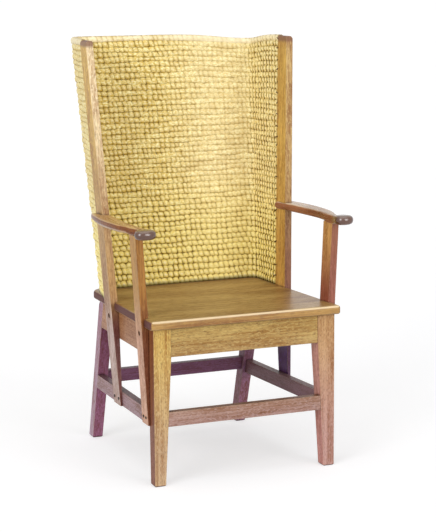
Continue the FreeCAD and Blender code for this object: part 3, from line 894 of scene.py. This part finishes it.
@dataclass
class Arms:
    """Two shaped arms, worn round and polished dark by hands."""

    line: SideLine = field(default_factory=SideLine)
    weld: float = 0.01 * MM
    even_size: float = 0.0013
    facing: float = 0.5
    knuckle_from: float = -0.262
    knuckle_shift: float = 0.010
    knuckle_lift: Pair = (0.003, 0.0)
    knuckle_in: float = 0.007
    knuckle_out: Pair = (0.002, 0.008)
    post_reach: Pair = (-0.23, -0.195)
    post_swell: float = 0.005
    post_drop: float = 0.004
    blend: float = 0.04
    wide_blend: float = 0.07
    near_blend: float = 0.018
    smoothing: float = 0.5
    rounding: int = 26
    knuckle_rounding: int = 120
    rear_end: float = 0.014
    tenon_place: Spot = (0.0585, 0.0219, 0.628)
    tenon_size: Spot = (0.013, 0.029, 0.013)
    grip_place: Pair = (-0.22, -0.278)
    seeds: tuple[int, int] = (4, 5)
    # side and top tones hold painted light and shade, and the left arm's pale top is a painted sheen
    faces: tuple[LitFaces, LitFaces] = (
        LitFaces("#9f694e", "#9f694e", "#dcc8b0"), LitFaces("#925820", "#925820", "#e2c184"))

    def build(self, side: str) -> Object:
        """Makes a rounded arm in place of its solid.

        Args:
            side: left or right.

        Returns:
            The arm.
        """
        node = f"arm_{side}"
        hand = ("left", "right").index(side)
        inward = (-1.0, 1.0)[hand]
        arm = self.even_board(node, -inward)
        knuckle = (-math.inf, self.knuckle_from)
        ways = Vector((inward, 0.0, 0.0)), Vector((-inward, 0.0, 0.0)), Vector((0.0, 0.0, -1.0))
        forward = Vector((0.0, -self.knuckle_shift, self.knuckle_lift[hand]))
        for reach, way, move, blend in (
                (knuckle, Vector(), forward, self.blend),
                (knuckle, ways[0], ways[0] * self.knuckle_in, self.blend),
                (knuckle, ways[1], ways[1] * self.knuckle_out[hand], self.blend),
                (self.post_reach, ways[0], ways[0] * self.post_swell, self.wide_blend),
                (self.post_reach, ways[2], ways[2] * self.post_drop, self.near_blend)):
            self.pull(arm, reach, way, move, blend)
        apply_modifier(arm, "SMOOTH", factor=self.smoothing, iterations=self.rounding)
        held = arm.vertex_groups.new(name="held")
        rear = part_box(node)[1].y - self.rear_end
        ends = [vertex.index for vertex in arm.data.vertices if not self.knuckle_from < vertex.co.y < rear]
        held.add(ends, 1.0, "REPLACE")
        apply_modifier(
            arm, "SMOOTH", factor=self.smoothing, iterations=self.knuckle_rounding, vertex_group=held.name)
        bpy.ops.object.shade_smooth()
        finish = OakFinish(
            f"polished_oak_{node}", (self.faces[hand],), Grain.DEEP, self.seeds[hand], roughness=0.3,
            specular=0.25, fleck=0.3, edge_wear_and_highlight=0.0, end_share=0.0, grip="#46281a", grip_coat=0.8,
            grip_place=self.grip_place)
        arm.data.materials.clear()
        arm.data.materials.append(finish.material())
        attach(arm, "root")
        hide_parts(node)
        return arm

    def even_board(self, node: str, side: float) -> Object:
        """Copies an arm's solid with its tenon hole filled, in a mesh of even faces.

        Args:
            node: name of the solid.
            side: 1 for the left side and -1 for the right one.

        Returns:
            The copy, which is active.
        """
        back, out, level = self.tenon_place
        bpy.ops.object.select_all(action="DESELECT")
        bpy.ops.mesh.primitive_cube_add(size=1.0, location=self.line.point(back, out, level, side))
        tenon = bpy.context.active_object
        tenon.scale = self.tenon_size
        settle(tenon)
        arm = join_as(f"polished_{node}", [own_copy(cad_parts[node], node), tenon])
        pick_only(arm)
        edit_all(bpy.ops.mesh.remove_doubles, threshold=self.weld)
        apply_modifier(arm, "REMESH", mode="VOXEL", voxel_size=self.even_size)
        return arm

    def pull(self, arm: Object, reach: Pair, way: Vector, move: Vector, blend: float) -> None:
        """Moves some points of an arm, and those around them less and less.

        Args:
            arm: the arm.
            reach: least and greatest Y of the points.
            way: direction in which the points look, or zero for all of them.
            move: how far they move.
            blend: how far around them others move too.
        """
        chosen = [
            vertex.index for vertex in arm.data.vertices
            if reach[0] < vertex.co.y < reach[1] and vertex.normal.dot(way) >= self.facing * way.length
        ]
        bpy.ops.object.mode_set(mode="EDIT")
        bpy.ops.mesh.select_all(action="DESELECT")
        shape = bmesh.from_edit_mesh(arm.data)
        shape.verts.ensure_lookup_table()
        for number in chosen:
            shape.verts[number].select_set(True)
        bmesh.update_edit_mesh(arm.data)
        bpy.ops.transform.translate(
            value=move, use_proportional_edit=True, proportional_edit_falloff="SMOOTH",
            proportional_size=blend)
        bpy.ops.object.mode_set(mode="OBJECT")


@dataclass
class Seat:
    """Waxed seat board with its grain from side to side, and a painted highlight along its front edge."""

    # face tones hold painted light and shade
    faces: LitFaces = LitFaces("#5c343c", "#b89355", "#b0915a")
    seed: int = 31

    def dress(self) -> None:
        """Gives the seat a waxed oak finish."""
        set_finish("seat_board", OakFinish(
            "waxed_oak_seat", (self.faces,), Grain.ACROSS, self.seed, roughness=0.34, specular=0.35,
            fleck=0.3, end="#664540", end_share=0.95, rim_highlight=0.8).material())


@dataclass
class StrawBack:
    """Back of straw rows between the posts, each row a bundle that is sewn into beads."""

    line: SideLine = field(default_factory=SideLine)
    rows: int = 46
    bands: int = 6
    seat_top: float = 0.417
    back_top: float = 1.077
    post_place: float = 0.269
    post_rake: float = math.radians(5.25)
    post_depth: float = 0.0535
    post_top_depth: float = 0.048
    post_gap: float = 0.0015
    wall_place: float = 0.460
    wall_rake: float = math.radians(6.9)
    corner_radius: float = 0.032
    seat_splay: Pair = (math.radians(0.5), math.radians(13.6))
    top_splay: float = math.radians(8.8)
    thickness: float = 0.0175
    overlap: float = 1.38
    bead: float = 0.0142
    beads: int = 8
    uneven: float = 0.25
    level_seed: int = 11
    order_seed: int = 7
    rings: int = 6
    sides: int = 10
    squareness: float = 0.75
    pinch: float = 0.2
    low_pinch: float = 0.27
    top_pinch: float = 0.05
    pinch_up: float = 0.8
    bead_swell: Pair = (0.86, 1.06)
    low_rows: int = 14
    slant: float = 0.5
    twine: float = 0.0007
    stitch_spot: Spot = (0.5, 0.0, 0.0)
    strings: int = 10
    edge_waver: float = 0.0007
    wave_count: int = 3
    wave_range: Pair = (1.5, 7.0)
    seat_press: float = 0.003
    path_points: int = 70
    dip: float = 0.014
    dip_to_post: float = 0.07
    dip_to_back: float = 0.12
    dip_rows: int = 14
    row_spread: Pair = (0.9, 1.1)
    low_swell: float = 0.14
    swell_rows: int = 9

    def row_levels(self) -> list[float]:
        """Works out where one row meets the next, the lowest rows being thicker.

        Returns:
            Heights of the edges between the rows, from the seat to the top.
        """
        rng = random.Random(self.level_seed)
        weights = [
            rng.uniform(*self.row_spread) * (1 + self.low_swell * max(0.0, 1 - row / self.swell_rows))
            for row in range(self.rows)
        ]
        unit = (self.back_top - self.seat_top) / sum(weights)
        return [self.seat_top + unit * sum(weights[:row]) for row in range(self.rows + 1)]

    def waver(self, edge: int, share: float) -> float:
        """Works out how far an edge between two rows strays from its level.

        Args:
            edge: number of the edge, from the seat up.
            share: place along the row, from 0 to 1.

        Returns:
            The offset upwards.
        """
        if edge == 0:
            return -self.seat_press
        if edge == self.rows:
            return 0.0
        rng = random.Random(edge)
        return self.edge_waver * sum(
            math.sin(math.tau * (share * rng.uniform(*self.wave_range) + rng.random()))
            for _ in range(self.wave_count))

    def row_end(self, z: float, side: int) -> tuple[Vector, float]:
        """Works out where a row meets its post.

        Args:
            z: height of the row.
            side: 1 for the left half and -1 for the right one.

        Returns:
            The middle of the row's end, as on the left side, and the angle by which the wing closes in.
        """
        out = self.line.post_face(z) - self.line.post_thickness / 2
        share = (z - self.seat_top) / (self.back_top - self.seat_top)
        post_depth = self.post_depth + (self.post_top_depth - self.post_depth) * share
        front = self.post_place + math.tan(self.post_rake) * (z - self.line.frame_top)
        rear = front + post_depth + self.post_gap
        seat_splay = self.seat_splay[0 if side > 0 else 1]
        return self.line.point(rear, out, z), seat_splay + (self.top_splay - seat_splay) * share

    def half_path(self, row: int, z: float, side: int) -> list[Vector]:
        """Lays out half of a row's middle line.

        Args:
            row: number of the row, from the seat up.
            z: height of the row.
            side: 1 for the left half and -1 for the right one.

        Returns:
            Points from the post's rear face to the middle of the back.
        """
        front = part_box("front_leg_left")[0].y
        start, splay = self.row_end(z, side)
        wall = front + self.wall_place + math.tan(self.wall_rake) * (z - self.seat_top)
        wing = Vector((-math.sin(splay), math.cos(splay), 0.0))
        turn = math.pi / 2 - splay
        tangent = self.corner_radius * math.tan(turn / 2)
        corner = Vector((start.x - math.tan(splay) * (wall - start.y), wall, z))
        bend = corner - wing * tangent
        centre = bend - Vector((math.cos(splay), math.sin(splay), 0.0)) * self.corner_radius
        straight = (bend - start).length
        round_length = self.corner_radius * turn
        flat = corner.x - tangent
        total = straight + round_length + flat
        points = []
        for step in range(self.path_points + 1):
            run = total * step / self.path_points
            if run < straight:
                place = start + wing * run
            elif run < straight + round_length:
                angle = splay + (run - straight) / self.corner_radius
                place = centre + Vector((math.cos(angle), math.sin(angle), 0.0)) * self.corner_radius
            else:
                place = Vector((flat - (run - straight - round_length), wall, z))
            if side > 0:
                place.z -= self.sag(row, run - straight - round_length / 2)
            points.append(Vector((side * place.x, place.y, place.z)))
        return points

    def sag(self, row: int, from_corner: float) -> float:
        """Works out how far the upper rows have sunk near the left corner.

        Args:
            row: number of the row, from the seat up.
            from_corner: length along the row from the corner, towards the back.

        Returns:
            The sag.
        """
        width = self.dip_to_back if from_corner > 0 else self.dip_to_post
        high = max(0.0, 1 - (self.rows - 1 - row) / self.dip_rows)
        return self.dip * high * math.exp(-(from_corner / width) ** 2)

    def row_path(self, row: int, low: float, high: float) -> list[tuple[Vector, float]]:
        """Lays out a row's whole middle line between its wavering edges.

        Args:
            row: number of the row, from the seat up.
            low: level of its lower edge.
            high: level of its upper edge.

        Returns:
            Points from the left post to the right one, each with the row's thickness as a share of the usual.
        """
        z = (low + high) / 2
        points = self.half_path(row, z, 1) + self.half_path(row, z, -1)[-2::-1]
        path = []
        for step, point in enumerate(points):
            below = self.waver(row, step / len(points))
            above = self.waver(row + 1, step / len(points))
            path.append((point + Vector((0.0, 0.0, (below + above) / 2)), 1 + (above - below) / (high - low)))
        return path

    def plain_tube(self, length: float, count: int) -> Object:
        """Models an open tube along X, thick as the wall, with rings of points along it.

        Args:
            length: length of the tube, which starts at the origin.
            count: number of steps between its rings.

        Returns:
            The tube.
        """
        bpy.ops.object.select_all(action="DESELECT")
        bpy.ops.mesh.primitive_cylinder_add(
            vertices=self.sides, radius=self.thickness / 2, depth=length, end_fill_type="NOTHING",
            rotation=(0.0, math.pi / 2, 0.0), location=(length / 2, 0.0, 0.0))
        tube = bpy.context.active_object
        settle(tube)
        bpy.ops.object.mode_set(mode="EDIT")
        shape = bmesh.from_edit_mesh(tube.data)
        for edge in shape.edges:
            run = edge.verts[1].co - edge.verts[0].co
            edge.select_set(abs(run.x) > length / 2)
        bmesh.update_edit_mesh(tube.data)
        bpy.ops.mesh.subdivide(number_cuts=count - 1)
        bpy.ops.object.mode_set(mode="OBJECT")
        return tube

    def bead_string(self, number: int, pinch: float, twine: bool) -> Object:
        """Models a short string of straw beads along X, with its stitches.

        Args:
            number: number of the string, which sets its irregularities.
            pinch: how much thinner a bundle is under a stitch.
            twine: whether stitches show.

        Returns:
            The string, as high as it is thick.
        """
        rng = random.Random(number)
        length = self.bead * self.beads
        count = self.beads * self.rings
        string = self.plain_tube(length, count)
        points = string.data.vertices
        rings = [[] for _ in range(count + 1)]
        for vertex in points:
            rings[round(vertex.co.x / length * count)].append(vertex)
        swell = [rng.uniform(*self.bead_swell) for _ in range(self.beads)]
        sizes = [rng.uniform(1 - self.uneven, 1 + self.uneven) for _ in range(self.beads)]
        starts = [length * sum(sizes[:bead]) / sum(sizes) for bead in range(self.beads + 1)]
        spots = [(0.0, 0.0, 0.0)] * len(points)
        for ring_number, ring in enumerate(rings):
            bead, step = divmod(min(ring_number, count - 1), self.rings)
            step += ring_number == count
            from_middle = abs(2 * step / self.rings - 1)
            narrow = 1 - pinch * from_middle ** 2
            wide = narrow * (1 + (swell[bead] - 1) * (1 - from_middle))
            for vertex in ring:
                across, up = vertex.co.yz * 2 / self.thickness
                spots[vertex.index] = (ring_number / self.rings, across, up)
                vertex.co.x = starts[bead] + (starts[bead + 1] - starts[bead]) * step / self.rings
                vertex.co.y = self.squared(vertex.co.y, self.thickness / 2) * wide
                vertex.co.z *= 1 - (1 - narrow) * self.pinch_up
        self.note_straw(string, spots)
        parts = [string]
        for bead in range(self.beads if twine else 0):
            parts.append(self.stitch(starts[bead], pinch))
        string = join_as(f"bead_string_{number}", parts)
        for vertex in string.data.vertices:
            vertex.co.x += self.slant * vertex.co.z * vertex.co.y * 2 / self.thickness
        return string

    def squared(self, depth: float, reach: float) -> float:
        """Flattens a bundle's round section a little towards a square.

        Args:
            depth: place in the wall's thickness.
            reach: half of the thickness there.

        Returns:
            The new place.
        """
        return math.copysign(reach * min(1.0, abs(depth) / reach) ** self.squareness, depth)

    def stitch(self, place: float, pinch: float) -> Object:
        """Models a turn of straw twine round the bundle, in the tone of a bead's middle.

        Args:
            place: where it stands along the string.
            pinch: how much thinner the bundle is there.

        Returns:
            The turn of twine.
        """
        radius = self.thickness / 2 * (1 - pinch)
        bpy.ops.object.select_all(action="DESELECT")
        bpy.ops.mesh.primitive_torus_add(
            major_segments=8, minor_segments=3, major_radius=radius, minor_radius=self.twine,
            rotation=(0.0, math.pi / 2, 0.0), location=(place, 0.0, 0.0))
        turn = bpy.context.active_object
        settle(turn)
        edit_all(bpy.ops.transform.resize, value=(1.0, 1.0, (1 - pinch * self.pinch_up) / (1 - pinch)))
        for vertex in turn.data.vertices:
            vertex.co.y = self.squared(vertex.co.y, radius + self.twine)
        self.note_straw(turn, [self.stitch_spot] * len(turn.data.vertices))
        return turn

    @staticmethod
    def note_straw(piece: Object, spots: list[Spot]) -> None:
        """Keeps each point's place in its bundle as an attribute.

        Args:
            piece: piece whose points are noted.
            spots: bead number along, and place across and up, of each point.
        """
        noted = piece.data.attributes.new("straw", "FLOAT_VECTOR", "POINT")
        for item, spot in zip(noted.data, spots):
            item.vector = spot

    def lay_row(self, string: Object, row: int, low: float, high: float) -> Object:
        """Repeats a bead string along a row's line.

        Args:
            string: bead string to repeat.
            row: number of the row.
            low: level of its lower edge.
            high: level of its upper edge.

        Returns:
            The row.
        """
        points = self.row_path(row, low, high)
        length = sum((b[0] - a[0]).length for a, b in zip(points, points[1:]))
        piece = self.bead * self.beads
        count = round(length / piece)
        path = self.row_line(points)
        made = own_copy(string, f"row_{row}")
        pick_only(made)
        apply_modifier(
            made, "ARRAY", count=count, use_relative_offset=False, use_constant_offset=True,
            constant_offset_displace=(piece, 0.0, 0.0))
        edit_all(bpy.ops.mesh.fill_holes, sides=0)
        made.scale = (length / (count * piece), 1.0, (high - low) * self.overlap / self.thickness)
        settle(made)
        apply_modifier(made, "CURVE", object=path)
        bpy.ops.object.shade_smooth()
        bpy.data.objects.remove(path)
        return made

    @staticmethod
    def row_line(points: list[tuple[Vector, float]]) -> Object:
        """Draws the curve that a row follows.

        Args:
            points: points of the row's middle line, each with the row's share of the usual thickness.

        Returns:
            The curve.
        """
        data = bpy.data.curves.new("row_line", "CURVE")
        data.dimensions = "3D"
        data.twist_mode = "Z_UP"
        spline = data.splines.new("POLY")
        spline.points.add(len(points) - 1)
        for target, (point, thick) in zip(spline.points, points):
            target.co = (*point, 1.0)
            target.radius = thick
        path = bpy.data.objects.new("row_line", data)
        bpy.context.scene.collection.objects.link(path)
        return path

    def build(self) -> list[Object]:
        """Lays all the rows and dresses them.

        Returns:
            The bands of rows, from the seat up, with the top row last.
        """
        straw = StrawFinish("sewn_oat_straw").material()
        pale = StrawFinish(
            "bound_oat_straw", light="#fbf0cc", mid="#eddcae", low="#dcc488", seam=0.3, stitch=0.2,
            pit=0.1).material()
        strings = [self.bead_string(number, self.pinch, True) for number in range(self.strings)]
        low_strings = [self.bead_string(number, self.low_pinch, True) for number in range(self.strings)]
        smooth = self.bead_string(self.strings, self.top_pinch, False)
        levels = self.row_levels()
        order = random.Random(self.order_seed)
        laid = []
        for row, (low, high) in enumerate(zip(levels, levels[1:])):
            string = order.choice(low_strings if row < self.low_rows else strings)
            laid.append(self.lay_row(smooth if row == self.rows - 1 else string, row, low, high))
        for string in [*strings, *low_strings, smooth]:
            bpy.data.objects.remove(string)
        made = []
        share = (self.rows - 1) / self.bands
        for band in range(self.bands):
            members = laid[round(band * share):round((band + 1) * share)]
            made.append(self.dress(join_as(f"straw_rows_{band + 1}", members), straw))
        made.append(self.dress(join_as("straw_top_row", laid[-1:]), pale))
        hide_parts("straw_back")
        return made

    @staticmethod
    def dress(piece: Object, straw: Material) -> Object:
        """Gives rows their finish and ties them to the chair.

        Args:
            piece: joined rows.
            straw: finish of the bundles and their stitches.

        Returns:
            The same rows.
        """
        piece.data.materials.clear()
        piece.data.materials.append(straw)
        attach(piece, "root")
        return piece


@dataclass
class Lacing:
    """Loops of cord that tie the ends of the straw rows to the back posts, seen from inside."""

    back: StrawBack = field(default_factory=StrawBack)
    every: int = 2
    reach: float = 0.006
    lift: float = 0.0024
    cord: float = 0.0013
    stray: float = 0.003
    lean: float = 0.5
    sizes: Pair = (0.7, 1.2)
    seed: int = 5

    def loop(self) -> Object:
        """Models a flat loop of cord along X.

        Returns:
            The loop, round the origin.
        """
        bpy.ops.object.select_all(action="DESELECT")
        bpy.ops.mesh.primitive_torus_add(
            major_segments=8, minor_segments=4, major_radius=self.reach, minor_radius=self.cord)
        made = bpy.context.active_object
        made.scale.y = self.lift / self.reach
        settle(made)
        bpy.ops.object.shade_smooth()
        return made

    def build(self, finish: Material) -> Object:
        """Sets a loop at every second row of both wings.

        Args:
            finish: material of the cord.

        Returns:
            All the loops as one piece.
        """
        pattern = self.loop()
        levels = self.back.row_levels()
        rng = random.Random(self.seed)
        made = []
        for low, high in zip(levels[1:-1:self.every], levels[2::self.every]):
            for side in (1, -1):
                level = (low + high) / 2 + rng.uniform(-self.stray, self.stray)
                end, splay = self.back.row_end(level, side)
                place = end - Vector((math.cos(splay), math.sin(splay), 0.0)) * self.back.thickness / 2
                loop = own_copy(pattern, "loop")
                loop.location = (side * place.x, place.y, level)
                loop.rotation_euler = (0.0, rng.uniform(-self.lean, self.lean), math.pi / 2 + side * splay)
                loop.scale = [rng.uniform(*self.sizes)] * 3
                settle(loop)
                made.append(loop)
        bpy.data.objects.remove(pattern)
        cords = join_as("post_lacing", made)
        cords.data.materials.append(finish)
        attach(cords, "root")
        return cords


@dataclass
class StretcherScrews:
    """Small screws that hold the feet of the posts to the side stretchers."""

    line: SideLine = field(default_factory=SideLine)
    radius: float = 0.0038
    height: float = 0.0018
    rounding: float = 0.00081
    slot_size: Spot = (0.0114, 0.0009, 0.00162)
    smooth_angle: float = math.radians(35)
    sunk: float = 0.0002
    seed: int = 3
    level: float = 0.167
    places: tuple[float, ...] = (0.0435, 0.0620, 0.2580, 0.2915)

    def head(self) -> Object:
        """Models a round head with a slot.

        Returns:
            The head, standing on the origin.
        """
        bpy.ops.object.select_all(action="DESELECT")
        bpy.ops.mesh.primitive_cylinder_add(
            vertices=18, radius=self.radius, depth=self.height, location=(0.0, 0.0, self.height / 2))
        head = bpy.context.active_object
        settle(head)
        bpy.ops.object.mode_set(mode="EDIT")
        shape = bmesh.from_edit_mesh(head.data)
        for part in shape.edges:
            part.select_set(all(vertex.co.z > self.height / 2 for vertex in part.verts))
        bmesh.update_edit_mesh(head.data)
        bpy.ops.mesh.bevel(offset=self.rounding, segments=3, affect="EDGES")
        bpy.ops.object.mode_set(mode="OBJECT")
        bpy.ops.object.select_all(action="DESELECT")
        bpy.ops.mesh.primitive_cube_add(size=1.0, location=(0.0, 0.0, self.height))
        cutter = bpy.context.active_object
        cutter.scale = self.slot_size
        settle(cutter)
        pick_only(head)
        apply_modifier(head, "BOOLEAN", object=cutter, operation="DIFFERENCE")
        bpy.data.objects.remove(cutter)
        bpy.ops.object.shade_smooth_by_angle(angle=self.smooth_angle)
        return head

    def build(self, finish: Material) -> Object:
        """Sets a screw at each place on both sides.

        Args:
            finish: material of the screws.

        Returns:
            All the screws as one piece.
        """
        head = self.head()
        turn = random.Random(self.seed)
        made = []
        for side in (1, -1):
            outward = self.line.outward(side)
            for back in self.places:
                screw = own_copy(head, "screw")
                place = self.line.point(back, self.line.post_face(self.level), self.level, side)
                spin = Matrix.Rotation(turn.uniform(0, math.pi), 4, "Z")
                lay = outward.to_track_quat("Z", "Y").to_matrix().to_4x4()
                screw.matrix_world = Matrix.Translation(place - outward * self.sunk) @ lay @ spin
                settle(screw)
                made.append(screw)
        bpy.data.objects.remove(head)
        screws = join_as("stretcher_screws", made)
        screws.data.materials.clear()
        screws.data.materials.append(finish)
        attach(screws, "root")
        return screws


def set_finish(node: str, material: Material) -> None:
    """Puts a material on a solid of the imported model.

    Args:
        node: name of the solid.
        material: the material.
    """
    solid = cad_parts[node]
    if not solid.material_slots:
        solid.data.materials.append(material)
    for place in solid.material_slots:
        place.material = material
    LOG.info("dressed %s", node)


def main() -> None:
    """Builds the studio, dresses the solids and adds the new pieces."""
    logging.basicConfig(level=logging.INFO, format="%(message)s")
    Studio().build()
    OakFrame().dress()
    Posts().dress()
    Seat().dress()
    iron = ScrewFinish().material()
    set_finish("rail_screws", iron)
    arms = Arms()
    made = [arms.build("left"), arms.build("right")]
    made.append(StretcherScrews().build(iron))
    made.extend(StrawBack().build())
    made.append(Lacing().build(CordFinish().material()))
    for piece in made:
        LOG.info("built %s with %d faces", piece.name, len(piece.data.polygons))


if __name__ == "__main__":
    main()
